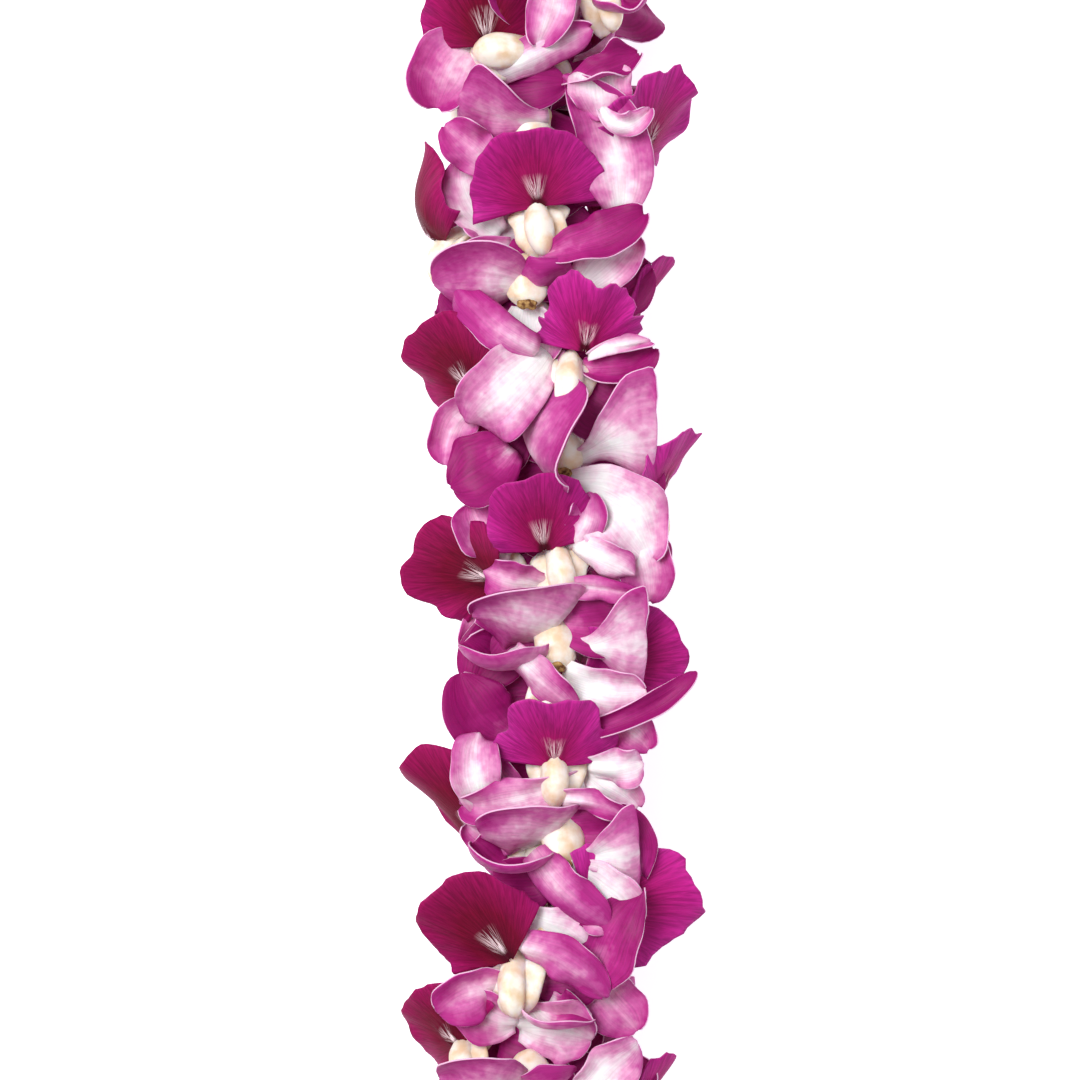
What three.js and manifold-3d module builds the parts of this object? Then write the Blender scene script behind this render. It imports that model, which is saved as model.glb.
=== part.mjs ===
// A fresh orchid lei: 92 blossoms strung on one thread, knotted into a loop and laid flat on a table.
// Millimetres, +Z up, Z = 0 on the table. The straight near run lies along +Y on the +X side of the loop.
// Every blossom is a six-lobed funnel round the thread: a long lip, two petals and three sepals.
// Two neighbouring blossoms make one solid, a blossom pair, and each next blossom faces a quarter turn on.
import * as THREE from "three";
import { mergeVertices } from "three/addons/utils/BufferGeometryUtils.js";
import Module from "manifold-3d";

const wasm = await Module();
wasm.setup();

// The loop, seen from above: a straight near run, two round ends and a slightly bowed far run
const nearRunHalf = 118;
const endRadius = 70;
const farBow = THREE.MathUtils.degToRad(12);
const farRadius = endRadius + nearRunHalf / Math.sin(farBow);
const farCentreX = -endRadius + nearRunHalf / Math.tan(farBow);

// The strand, cut through
const threadHeight = 23;
const threadRadius = 0.5;
const boreRadius = 1.35;
const hubRadius = 4;
const rimThickness = 1.4;
const funnelSlope = 0.34;
const notchShare = 0.62;
const endGap = 0.2;

// Reach from the thread and extra rise along it, for each lobe, counted round from the lip
const lobes = [
  { reach: 28.5, rise: 2.0 },
  { reach: 24.5, rise: 0.5 },
  { reach: 23.0, rise: -1.5 },
  { reach: 22.0, rise: -2.5 },
  { reach: 23.0, rise: -1.5 },
  { reach: 24.5, rise: 0.5 },
];
const lobeStep = (2 * Math.PI) / lobes.length;
const raysPerLobe = 3;
const rays = lobes.length * raysPerLobe;
const rayStep = (2 * Math.PI) / rays;

// Blossoms come in sets of four that face up, outwards, down and inwards in turn
const blossomsPerSet = 4;
const quarterTurn = Math.PI / 2;
const nearSetLengths = [43, 42, 38, 31, 33.5];
const nearSetsStart = -92.4;
const setsPerSide = 9;
const knotGap = 5;

// The knot, with two short tails
const knotRadius = 1.7;
const knotHalfLength = 2.1;
const knotSides = 12;
const tailLength = 15;
const tailSpread = THREE.MathUtils.degToRad(34);

const threadSteps = 80;
const threadSides = 8;

const endTurn = Math.PI - farBow;
const loopLength = 2 * (nearRunHalf + endRadius * endTurn + farRadius * farBow);
const upwards = new THREE.Vector3(0, 0, 1);

// The stretches of the loop from the knot, in the order that a bead on the thread would pass them
const stretches = [
  { length: farRadius * farBow, radius: farRadius, centre: [farCentreX, 0], from: Math.PI },
  { length: endRadius * endTurn, radius: endRadius, centre: [-endRadius, -nearRunHalf], from: Math.PI + farBow },
  { length: 2 * nearRunHalf },
  { length: endRadius * endTurn, radius: endRadius, centre: [-endRadius, nearRunHalf], from: 0 },
  { length: farRadius * farBow, radius: farRadius, centre: [farCentreX, 0], from: endTurn },
];

// The thread's place and its outward direction, at a distance along the loop from the knot
function routeAt(distance) {
  let left = THREE.MathUtils.clamp(distance, 0, loopLength);
  let stretch = stretches[0];
  for (stretch of stretches) {
    if (left <= stretch.length || stretch === stretches.at(-1)) break;
    left -= stretch.length;
  }
  if (!stretch.radius) {
    return {
      place: new THREE.Vector3(0, left - nearRunHalf, threadHeight),
      outward: new THREE.Vector3(1, 0, 0),
    };
  }
  const angle = stretch.from + left / stretch.radius;
  const outward = new THREE.Vector3(Math.cos(angle), Math.sin(angle), 0);
  const place = new THREE.Vector3(...stretch.centre, threadHeight).addScaledVector(outward, stretch.radius);
  return { place, outward };
}

// A point of the strand, from its distance along the loop, its radius, and its angle from straight up
// towards the outside of the loop. Nothing goes through the table.
function strandPoint(distance, radius, angle) {
  const { place, outward } = routeAt(distance);
  place.addScaledVector(upwards, radius * Math.cos(angle)).addScaledVector(outward, radius * Math.sin(angle));
  place.z = Math.max(place.z, 0);
  return place;
}

// The strand as a curve between two distances, for the thread
class StrandRoute extends THREE.Curve {
  constructor(from, to) {
    super();
    this.from = from;
    this.to = to;
  }

  getPoint(t, target = new THREE.Vector3()) {
    return target.copy(routeAt(THREE.MathUtils.lerp(this.from, this.to, t)).place);
  }
}

// Every blossom's place along the loop, the room it has there, and the way it faces
function blossomPlaces() {
  const nearStart = loopLength / 2 + nearSetsStart;
  const nearEnd = nearStart + nearSetLengths.reduce((sum, length) => sum + length, 0);
  const before = (nearStart - knotGap / 2) / setsPerSide;
  const after = (loopLength - knotGap / 2 - nearEnd) / setsPerSide;
  const setLengths = [
    ...Array(setsPerSide).fill(before),
    ...nearSetLengths,
    ...Array(setsPerSide).fill(after),
  ];
  const places = [];
  let start = knotGap / 2;
  for (const setLength of setLengths) {
    const room = setLength / blossomsPerSet;
    for (let turn = 0; turn < blossomsPerSet; turn++) {
      places.push({ distance: start + (turn + 0.5) * room, room, facing: turn * quarterTurn });
    }
    start += setLength;
  }
  return places;
}

// Where one ray of a blossom's rim ends: its reach, and how far it has risen along the thread
function rimOf(facing, angle) {
  const fromLip = THREE.MathUtils.euclideanModulo(angle - facing, 2 * Math.PI);
  const lobe = lobes[Math.round(fromLip / lobeStep) % lobes.length];
  const ray = Math.round((fromLip - rayStep / 2) / rayStep);
  const reach = ray % raysPerLobe === 1 ? lobe.reach * notchShare : lobe.reach;
  return { reach, rise: funnelSlope * (reach - hubRadius) + lobe.rise };
}

// Two neighbouring blossoms as one solid of revolution, whose rims are drawn out into lobes
function blossomPairGeometry(first, second) {
  const firstEnd = first.distance - first.room / 2 + endGap;
  const lastEnd = second.distance + second.room / 2 - endGap;
  const neck = (first.distance + second.distance) / 2;
  const rings = [
    { radius: boreRadius, distance: firstEnd, blossom: first },
    { side: -rimThickness / 2, blossom: first },
    { side: rimThickness / 2, blossom: first },
    { radius: hubRadius, distance: neck, blossom: second },
    { side: -rimThickness / 2, blossom: second },
    { side: rimThickness / 2, blossom: second },
    { radius: hubRadius, distance: lastEnd, blossom: second },
    { radius: boreRadius, distance: lastEnd, blossom: second },
  ];
  const profile = rings.map((ring, index) => new THREE.Vector2(1, index));
  const geometry = new THREE.LatheGeometry([...profile, profile[0]], rays);
  const position = geometry.getAttribute("position");
  for (let index = 0; index < position.count; index++) {
    const ring = rings[(index % (rings.length + 1)) % rings.length];
    const ray = Math.floor(index / (rings.length + 1)) % rays;
    const facing = ring.blossom.facing;
    const angle = ray * rayStep + THREE.MathUtils.euclideanModulo(facing + rayStep / 2, rayStep);
    let point;
    if (ring.radius) {
      point = strandPoint(ring.distance, ring.radius, angle);
    } else {
      const rim = rimOf(facing, angle);
      point = strandPoint(ring.blossom.distance + rim.rise + ring.side, rim.reach, angle);
    }
    position.setXYZ(index, point.x, point.y, point.z);
  }
  return geometry;
}

function roundSection(radius, sides) {
  const corners = Array.from({ length: sides }, (_, side) => {
    const angle = (side * 2 * Math.PI) / sides;
    return new THREE.Vector2(radius * Math.cos(angle), radius * Math.sin(angle));
  });
  return new THREE.Shape(corners);
}

function tubeAlong(route, radius, sides, steps) {
  return new THREE.ExtrudeGeometry(roundSection(radius, sides), { steps, extrudePath: route, bevelEnabled: false });
}

// A geometry as a solid that can be joined to another
function solidOf(geometry) {
  const bare = new THREE.BufferGeometry().setAttribute("position", geometry.getAttribute("position"));
  if (geometry.index) bare.setIndex(geometry.index);
  const merged = mergeVertices(bare, 1e-3);
  const triVerts = new Uint32Array(merged.index.array);
  const vertProperties = new Float32Array(merged.getAttribute("position").array);
  return new wasm.Manifold(new wasm.Mesh({ numProp: 3, vertProperties, triVerts }));
}

function geometryOf(solid) {
  const { vertProperties, triVerts } = solid.getMesh();
  return new THREE.BufferGeometry()
    .setAttribute("position", new THREE.BufferAttribute(new Float32Array(vertProperties), 3))
    .setIndex(new THREE.BufferAttribute(new Uint32Array(triVerts), 1));
}

// The knot that closes the loop: a tight lump with the thread's two cut tails
function knotGeometry() {
  const { place } = routeAt(0);
  const lump = new THREE.SphereGeometry(1, knotSides, knotSides / 2);
  lump.scale(knotRadius, knotHalfLength, knotRadius).translate(place.x, place.y, place.z);
  let solid = solidOf(lump);
  for (const angle of [-tailSpread, tailSpread]) {
    const tip = strandPoint(funnelSlope * tailLength, tailLength, angle);
    const middle = place.clone().lerp(tip, 0.5).addScaledVector(upwards, knotRadius);
    const route = new THREE.QuadraticBezierCurve3(place, middle, tip);
    solid = solid.add(solidOf(tubeAlong(route, threadRadius, threadSides, 4)));
  }
  return geometryOf(solid);
}

function petalMaterial(pair) {
  const shade = pair % 2 ? 0xd66bb4 : 0xc23a98;
  return new THREE.MeshStandardMaterial({ color: shade, roughness: 0.55, metalness: 0 });
}

function threadMaterial() {
  return new THREE.MeshStandardMaterial({ color: 0xf1ede0, roughness: 0.9, metalness: 0 });
}

const lei = new THREE.Group();
lei.name = "fresh_flower_lei";

function addPiece(name, geometry, material) {
  const mesh = new THREE.Mesh(geometry, material);
  mesh.name = name;
  lei.add(mesh);
}

const places = blossomPlaces();
for (let index = 0; index < places.length; index += 2) {
  const pair = index / 2;
  const name = `blossom_pair_${String(pair + 1).padStart(2, "0")}`;
  addPiece(name, blossomPairGeometry(places[index], places[index + 1]), petalMaterial(pair));
}

const threadStart = knotHalfLength + endGap;
const threadRoute = new StrandRoute(threadStart, loopLength - threadStart);
addPiece("thread", tubeAlong(threadRoute, threadRadius, threadSides, threadSteps), threadMaterial());
addPiece("thread_knot", knotGeometry(), threadMaterial());

// The origin is on the table, at the middle of the lei's outline
const outline = new THREE.Box3().setFromObject(lei);
const middle = outline.getCenter(new THREE.Vector3());
lei.position.set(-middle.x, -middle.y, 0);

export default lei;
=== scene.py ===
import math
import random

import bmesh
import bpy
from mathutils import Matrix, Vector, noise


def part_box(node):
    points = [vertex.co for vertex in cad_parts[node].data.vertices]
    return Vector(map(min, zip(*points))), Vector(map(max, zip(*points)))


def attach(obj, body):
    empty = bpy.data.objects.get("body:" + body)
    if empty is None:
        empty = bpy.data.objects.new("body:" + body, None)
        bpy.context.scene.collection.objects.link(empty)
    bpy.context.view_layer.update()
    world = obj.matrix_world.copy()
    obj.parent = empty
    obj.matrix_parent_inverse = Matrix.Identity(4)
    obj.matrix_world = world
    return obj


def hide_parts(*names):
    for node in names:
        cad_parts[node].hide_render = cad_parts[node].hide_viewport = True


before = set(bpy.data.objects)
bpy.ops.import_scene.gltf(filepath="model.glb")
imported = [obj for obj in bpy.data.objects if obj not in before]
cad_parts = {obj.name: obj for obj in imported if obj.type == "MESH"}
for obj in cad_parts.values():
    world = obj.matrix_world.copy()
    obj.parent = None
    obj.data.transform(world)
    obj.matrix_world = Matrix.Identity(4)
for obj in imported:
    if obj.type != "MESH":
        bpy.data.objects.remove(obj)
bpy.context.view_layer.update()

metres = 0.001
upwards = Vector((0, 0, 1))


def mix(start, end, share):
    return start + (end - start) * share


def ease(share):
    share = min(max(share, 0), 1)
    return share * share * (3 - 2 * share)


def bell(distance, width):
    return math.exp(-(distance / width) ** 2)


# A Bezier curve through as many points as it is given
def curveAt(points, share):
    while len(points) > 1:
        points = [near.lerp(far, share) for near, far in zip(points, points[1:])]
    return points[0]


# The thread's route, the same as the frame's: a straight near run, two round ends and a bowed far run
loop = {
    "nearRunHalf": 118,
    "endRadius": 70,
    "farBow": math.radians(12),
    "threadRadius": 0.5,
    "knotGap": 5,
    "nearSetLengths": [43, 42, 38, 31, 33.5],
    "nearSetsStart": -92.4,
    "setsPerSide": 9,
    "blossomsPerSet": 4,
}
threadLow, threadHigh = (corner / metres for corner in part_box("thread"))
nearX = threadHigh.x - loop["threadRadius"]
nearY = (threadLow.y + threadHigh.y) / 2
threadHeight = (threadLow.z + threadHigh.z) / 2

farRadius = loop["endRadius"] + loop["nearRunHalf"] / math.sin(loop["farBow"])
farCentre = loop["nearRunHalf"] / math.tan(loop["farBow"]) - loop["endRadius"]
endTurn = math.pi - loop["farBow"]
farHalf = farRadius * loop["farBow"]
endLength = loop["endRadius"] * endTurn
loopLength = 2 * (farHalf + endLength + loop["nearRunHalf"])

# Each stretch's length, its radius and centre where it is round, and the angle that it starts from
stretches = [
    (farHalf, farRadius, (farCentre, 0), math.pi),
    (endLength, loop["endRadius"], (-loop["endRadius"], -loop["nearRunHalf"]), math.pi + loop["farBow"]),
    (2 * loop["nearRunHalf"], None, None, None),
    (endLength, loop["endRadius"], (-loop["endRadius"], loop["nearRunHalf"]), 0),
    (farHalf, farRadius, (farCentre, 0), endTurn),
]


# Where the thread is at a distance along the loop, with the directions outward, along and up as its axes
def strandAt(distance):
    for length, radius, centre, start in stretches:
        if distance <= length:
            break
        distance -= length
    if radius is None:
        outward = Vector((1, 0, 0))
        place = Vector((nearX, nearY + distance - loop["nearRunHalf"], threadHeight))
    else:
        angle = start + distance / radius
        outward = Vector((math.cos(angle), math.sin(angle), 0))
        place = Vector((nearX + centre[0], nearY + centre[1], threadHeight)) + radius * outward
    along = upwards.cross(outward)
    return Matrix.Translation(place) @ Matrix((outward, along, upwards)).transposed().to_4x4()


# Every blossom's distance along the loop from the knot
def blossomDistances():
    nearStart = loopLength / 2 + loop["nearSetsStart"]
    nearEnd = nearStart + sum(loop["nearSetLengths"])
    before = (nearStart - loop["knotGap"] / 2) / loop["setsPerSide"]
    after = (loopLength - loop["knotGap"] / 2 - nearEnd) / loop["setsPerSide"]
    lengths = [before] * loop["setsPerSide"] + loop["nearSetLengths"] + [after] * loop["setsPerSide"]
    distances = []
    start = loop["knotGap"] / 2
    for length in lengths:
        for turn in range(loop["blossomsPerSet"]):
            distances.append(start + (turn + 0.5) * length / loop["blossomsPerSet"])
        start += length
    return distances


# What lies on the table is pressed flat against it, more and more towards the lowest point
table = {"pressedFrom": 6.5, "clear": 0.45}


def onTable(spot):
    room = table["pressedFrom"] - table["clear"]
    if spot.z < table["pressedFrom"]:
        spot.z = table["clear"] + room * math.exp((spot.z - table["pressedFrom"]) / room)
    return spot


# The walls of a petal: its upper face, its underside and its rim take the material slots in that order.
# A wall that a sharp fold would draw out to a spike stays near the face that it backs.
mostWall = 1.3


def thicken(mesh, verts, thickness):
    growth = mesh.verts.layers.float_vector["growth"]
    faces = list({face for vert in verts for face in vert.link_faces})
    upper = set(verts)
    backed = {tuple(vert[growth]): vert.co.copy() for vert in verts}
    mesh.normal_update()
    shell = bmesh.ops.solidify(mesh, geom=faces, thickness=thickness)["geom"]
    for vert in shell:
        if isinstance(vert, bmesh.types.BMVert) and vert not in upper:
            front = backed[tuple(vert[growth])]
            depth = vert.co - front
            vert.co = front + depth * min(1, mostWall * thickness / max(depth.length, thickness))
    walls = {part for part in shell if isinstance(part, bmesh.types.BMFace)}
    for face in walls.union(face for vert in verts for face in vert.link_faces):
        upperCorners = sum(vert in upper for vert in face.verts)
        face.material_index = 0 if upperCorners == len(face.verts) else 1 if upperCorners == 0 else 2
        face.smooth = True


# A sepal or petal. Its spine runs from foot to tip, up is where its upper face looks at the foot, and its
# two halves curl towards that face by cup, at foot and tip, and by roll, at the left and right margin.
# Its rows crowd towards the tip, which stops just short of a point, and a fine groove runs down its middle.
rows = {"crowding": 1.3, "end": 0.995, "look": 0.01}
groove = {"depth": 0.12, "width": 0.12}
sepal = {
    "width": 16.5, "neck": 0.5, "widest": 0.48, "point": 0.52,
    "cup": (35, 30), "roll": (0, 0), "twist": (0, 0), "up": (0, 0, 1),
    "swell": 1, "ruffle": 1.1, "waves": 2.4, "dent": 1.2, "ragged": 0.05, "thickness": 0.3, "flush": 0.5,
}
petal = {
    "width": 22, "neck": 0.3, "widest": 0.6, "point": 0.46,
    "cup": (35, 15), "roll": (0, 0), "twist": (0, 0), "up": (0, 0, 1),
    "swell": 1, "ruffle": 1.9, "waves": 3.4, "dent": 1.3, "ragged": 0.08, "thickness": 0.28, "flush": 0.6,
}


def growSheet(mesh, sheet, stand, strand, fine, seed):
    growth = mesh.verts.layers.float_vector["growth"]
    across, along = fine
    verts = bmesh.ops.create_grid(mesh, x_segments=across, y_segments=along, size=0.5)["verts"]
    points = [stand @ Vector(point) for point in sheet["spine"]]
    upward = stand.to_3x3() @ Vector(sheet["up"])
    middle = across // 2
    for number in range(along + 1):
        row = verts[number * (across + 1):(number + 1) * (across + 1)]
        u = rows["end"] * (1 - (1 - number / along) ** rows["crowding"])
        place = curveAt(points, u)
        tangent = (curveAt(points, u + rows["look"]) - curveAt(points, u - rows["look"])).normalized()
        rising = (upward - tangent * upward.dot(tangent)).normalized()
        rising = Matrix.Rotation(math.radians(mix(*sheet["twist"], u)), 3, tangent) @ rising
        side = tangent.cross(rising)
        if u < sheet["widest"]:
            share = mix(sheet["neck"], 1, math.sin(u / sheet["widest"] * math.pi / 2) ** sheet["swell"])
        else:
            share = (1 - ((u - sheet["widest"]) / (1 - sheet["widest"])) ** 2) ** sheet["point"]
        cup = math.radians(mix(*sheet["cup"], u))
        for way in (-1, 1):
            uneven = sheet["ragged"] * noise.noise(Vector((u * 4, way * 3, seed)))
            half = sheet["width"] / 2 * share * (1 + uneven * 2)
            wave = sheet["ruffle"] * noise.noise(Vector((u * sheet["waves"], way * 5, seed)))
            roll = math.radians(sheet["roll"][way > 0]) * ease(u * 2)
            flat, rise, before = 0.0, 0.0, 0.0
            for step in range(middle + 1):
                v = step / middle
                halfway = (v + before) / 2
                bend = cup * halfway + roll * halfway ** 3
                flat += math.cos(bend) * (v - before) * half
                rise += math.sin(bend) * (v - before) * half
                before = v
                lift = 2 * wave * v * v * ease(u * 1.6)
                lift += sheet["dent"] * noise.noise(Vector((u * 2.2, v * way * 1.2, seed)))
                lift -= groove["depth"] * bell(v, groove["width"]) * ease(u * 3)
                vert = row[middle + way * step]
                vert.co = onTable(strand @ (place + side * flat * way + rising * (rise + lift)))
                vert[growth] = (u, v * way, sheet["flush"])
    thicken(mesh, verts, sheet["thickness"])


# The lip, a fan that stands up from the column's foot: its side lobes hug the column, its crest is pale.
# Uneven and teeth vary its margin, frill waves it, buckle waves its face, and keels are the crest's ridges.
# Lobes has the notches that part the side lobes from the middle one, and the shallower one at the tip.
lip = {
    "foot": (0, 0.5, 11.5), "claw": 0.03, "length": 20, "sideLength": 13, "spread": 90,
    "lift": (24, 42), "cup": -2.5, "bend": 0, "notch": 0.8, "uneven": 1.6, "teeth": 0.5, "frill": 0.8,
    "buckle": 0.6, "keels": 0.8, "thickness": 0.32, "flush": 0.4,
}
lobes = {"notchAt": 0.55, "notchWidth": 0.12, "tipNotch": 0.7, "tipNotchWidth": 0.1}
keels = {"at": (-1.4, 0, 1.4), "width": 0.45, "middle": 3.5, "length": 3}


def growLip(mesh, form, stand, strand, fine, seed):
    growth = mesh.verts.layers.float_vector["growth"]
    across, along = fine
    verts = bmesh.ops.create_grid(mesh, x_segments=across, y_segments=along, size=0.5)["verts"]
    foot = Vector(form["foot"])
    for index, vert in enumerate(verts):
        u = mix(form["claw"], 1, (index // (across + 1) / along) ** 0.9)
        v = 2 * (index % (across + 1)) / across - 1
        angle = math.radians(form["spread"]) * v
        reach = mix(form["length"], form["sideLength"], ease(abs(v)) ** 1.2)
        sideNotch = bell(abs(v) - lobes["notchAt"], lobes["notchWidth"])
        reach -= form["notch"] * (sideNotch + lobes["tipNotch"] * bell(v, lobes["tipNotchWidth"]))
        reach += form["uneven"] * noise.noise(Vector((v * 2.2, 0, seed)))
        reach += form["teeth"] * noise.noise(Vector((v * 11, 5, seed)))
        sideways = u * reach * math.sin(angle)
        forward = u * reach * math.cos(angle)
        share = ease(forward / form["length"])
        lift = math.radians(mix(*form["lift"], share))
        middleLift = math.radians(mix(*form["lift"], share / 2))
        rise = form["cup"] * (sideways / form["sideLength"]) ** 2 + form["bend"] * u * u
        rise += form["frill"] * 2.4 * noise.noise(Vector((v * 4.5, 9, seed))) * u ** 4
        rise += form["buckle"] * noise.noise(Vector((v * 2, u * 2, seed))) * ease(u * 2)
        ridges = sum(bell(sideways - keel, keels["width"]) for keel in keels["at"])
        rise += form["keels"] * ridges * bell(forward - keels["middle"], keels["length"])
        tangent = Vector((0, math.cos(middleLift), math.sin(middleLift)))
        rising = Vector((0, -math.sin(lift), math.cos(lift)))
        spot = foot + Vector((sideways, 0, 0)) + tangent * forward + rising * rise
        vert.co = onTable(strand @ stand @ spot)
        vert[growth] = (u, v, form["flush"])
    thicken(mesh, verts, form["thickness"])


# The solid parts at a blossom's middle, each a sphere drawn along a spine with its half-widths on the way.
# The nose is the column with its anther cap, and the wings stand out behind it on both sides.
nose = {
    "spine": [(0, 2, 3), (0, 3, 10), (0, -1.5, 14), (0, -8.5, 12)],
    "widths": [(2.2, 2.2), (2.4, 2.2), (2.9, 2.3), (2.3, 1.7)],
    "ridge": 0.5, "bumps": 0.3, "slot": 0,
}
wings = {
    "spine": [(0, 2, 3), (0.5, 2, 9), (0, -3.5, 11.5), (-0.5, -9, 8.5)],
    "widths": [(2.4, 1.4), (6.0, 1.6), (5.2, 1.6), (2.6, 1.1)],
    "ridge": 0, "bumps": 1.1, "slot": 0,
}
hub = {
    "spine": [(0, -3.5, -8.5), (0, -1, -10.5), (0, 4, -9.5), (0, 6.5, -4)],
    "widths": [(2.2, 1.4), (4.0, 2.0), (4.4, 2.6), (3.0, 2.6)],
    "ridge": 0.5, "bumps": 0.5, "slot": 0,
}
scar = {
    "spine": [(0, -2.6, -9.0), (0, -2.7, -11.4), (0, -2.8, -12.0)],
    "widths": [(1.6, 1.2), (1.9, 1.2), (1.6, 1.1)],
    "ridge": -0.6, "bumps": 0.5, "slot": 1,
}


def growBead(mesh, bead, stand, strand, fine, seed):
    growth = mesh.verts.layers.float_vector["growth"]
    around, along = fine
    verts = bmesh.ops.create_uvsphere(mesh, u_segments=around, v_segments=along, radius=1)["verts"]
    points = [stand @ Vector(point) for point in bead["spine"]]
    side = stand.to_3x3() @ Vector((1, 0, 0))
    for vert in verts:
        t = 1 - math.acos(min(max(vert.co.z, -1), 1)) / math.pi
        angle = math.atan2(vert.co.y, vert.co.x)
        tangent = (curveAt(points, t + rows["look"]) - curveAt(points, t - rows["look"])).normalized()
        rising = tangent.cross(side)
        station = t * (len(bead["widths"]) - 1)
        first = min(int(station), len(bead["widths"]) - 2)
        wide, deep = (mix(*pair, ease(station - first)) for pair in zip(*bead["widths"][first:first + 2]))
        roundness = 1 - (1 - math.sin(math.pi * t)) ** 5
        outward = side * math.cos(angle) + rising * math.sin(angle)
        extra = bead["bumps"] * noise.noise(outward * 1.3 + Vector((0, 0, t * 4 + seed)))
        extra += bead["ridge"] * bell(angle - math.pi / 2, 0.5)
        spot = side * (wide * math.cos(angle)) + rising * (deep * math.sin(angle)) + outward * extra
        vert.co = onTable(strand @ (curveAt(points, t) + spot * roundness))
        vert[growth] = (t, math.sin(angle), 0)
    faces = list({face for vert in verts for face in vert.link_faces})
    for face in faces:
        face.material_index = bead["slot"]
        face.smooth = True
    bmesh.ops.recalc_face_normals(mesh, faces=faces)


# A sheet on a spine of its own, with anything else that differs
def bent(sheet, spine, **changes):
    return {**sheet, "spine": spine, **changes}


# How the five petals and sepals lie in a blossom, seen from its front: x to the right, y towards the lip,
# z the way it faces. Blossoms that face sideways have the petal on the strand's top bent over.
foldedSepal = {**sepal, "up": (0, 0.8, 0.5), "cup": (60, 60)}
openHabit = {
    "sepalLeft": bent(foldedSepal, [(-2.2, 4, -6), (-11, 5, -10), (-15, 15, -12)]),
    "sepalRight": bent(foldedSepal, [(2.2, 4, -6), (11, 5, -10), (15, 15, -12)]),
    "petalLeft": bent(petal, [(-3, -0.5, -3), (-12, -2, 1), (-21, 2, -3)]),
    "petalRight": bent(petal, [(3, -0.5, -3), (12, -2, 1), (21, 2, -3)]),
    "dorsal": bent(sepal, [(0, -3, -4), (0, -10, -7), (0, -18, -6)]),
}
bentHabit = {
    0: {},
    1: {"petalLeft": bent(petal, [(-3, -1, -3), (-15, 2, -2), (-14, 9, 11)])},
    2: {},
    3: {"petalRight": bent(petal, [(3, -1, -3), (15, 2, -2), (14, 9, 11)])},
}


# The strand's lower half is closed by sheets folded down round it, foot to the thread and tip along the run.
# Each blossom's turn gives the ways that they face, in degrees from straight up, and how far out they reach.
foldedDown = {
    **petal, "width": 19, "neck": 0.4, "up": (0, 0.2, -1), "cup": (40, 20), "ruffle": 2.2, "flush": 0.45,
}
foldedOver = {**foldedDown, "up": (0, -0.2, 1), "cup": (-40, -20), "flush": 0.75}
lowerWays = {
    0: [(106, 16), (182, 20), (252, 16)],
    1: [(142, 19), (206, 19), (254, 16)],
    2: [(116, 17), (176, 20), (240, 17)],
    3: [(108, 16), (156, 19), (216, 19)],
}


# The same sheet a little changed, less at its foot than at its tip
change = {"width": (-0.08, 0.06), "roll": (-15, 35), "twist": (-12, 12), "flush": (-0.25, 0.25)}


def jittered(sheet, chance, amount):
    spine = [tuple(value + chance.uniform(-amount, amount) * order for value in point)
             for order, point in enumerate(sheet["spine"])]
    return {
        **sheet,
        "spine": spine,
        "width": sheet["width"] * (1 + amount * chance.uniform(*change["width"])),
        "roll": tuple(value + amount * chance.uniform(*change["roll"]) for value in sheet["roll"]),
        "twist": tuple(value + amount * chance.uniform(*change["twist"]) for value in sheet["twist"]),
        "flush": sheet["flush"] + amount * chance.uniform(*change["flush"]),
    }


def lowerSheet(reach, chance):
    sheet = chance.choice([foldedDown, foldedDown, foldedOver])
    return jittered(bent(sheet, [(0, -4, 4), (0, -4, 0.85 * reach), (0, 9, reach)]), chance, 1)


# The blossoms that the photograph shows, by number from the knot. Their sheets are laid one by one, from
# where the thread goes through them: x outward, y along the run, z up. Over is an up that turns the underside
# uppermost. Outer sheets fold over the strand's edge, inner ones lie open, a tube is rolled up, a wall stands
# on edge, a fan spreads its tip, a pocket is cupped, and a painted shade is a dark sheet laid in a hollow
# under the others.
over = (0, 0.2, -1)
outer = {**petal, "up": over, "cup": (-15, -40), "neck": 0.45, "ruffle": 2.2, "dent": 1.4, "flush": 0.3}
inner = {**sepal, "width": 15, "cup": (25, 10), "flush": 1}
tube = {**petal, "width": 9, "neck": 0.65, "up": over, "cup": (60, 60), "roll": (0, -110)}
wall = {**sepal, "width": 22, "up": (0, 0.7, -0.7), "cup": (25, 20), "roll": (-75, 0)}
fan = {**wall, "width": 26, "neck": 0.15, "widest": 0.92, "swell": 2.6, "point": 0.3, "ruffle": 0.7,
       "up": (-0.2, 0.35, -0.95), "cup": (0, 20), "roll": (0, -40), "flush": 0.25}
pocket = {**sepal, "width": 19, "neck": 0.8, "up": (0, 0.86, 0.5), "cup": (80, 80)}
# Painted shade: a dark purple sheet, laid low in the core in place of a petal or sepal, darkens the gaps
# between the others
paintedShade = {**inner, "spine": [(-10, 1, 2), (0, 0, 5), (10, 1, 2)], "width": 22, "neck": 0.7, "flush": 1.3}
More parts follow.
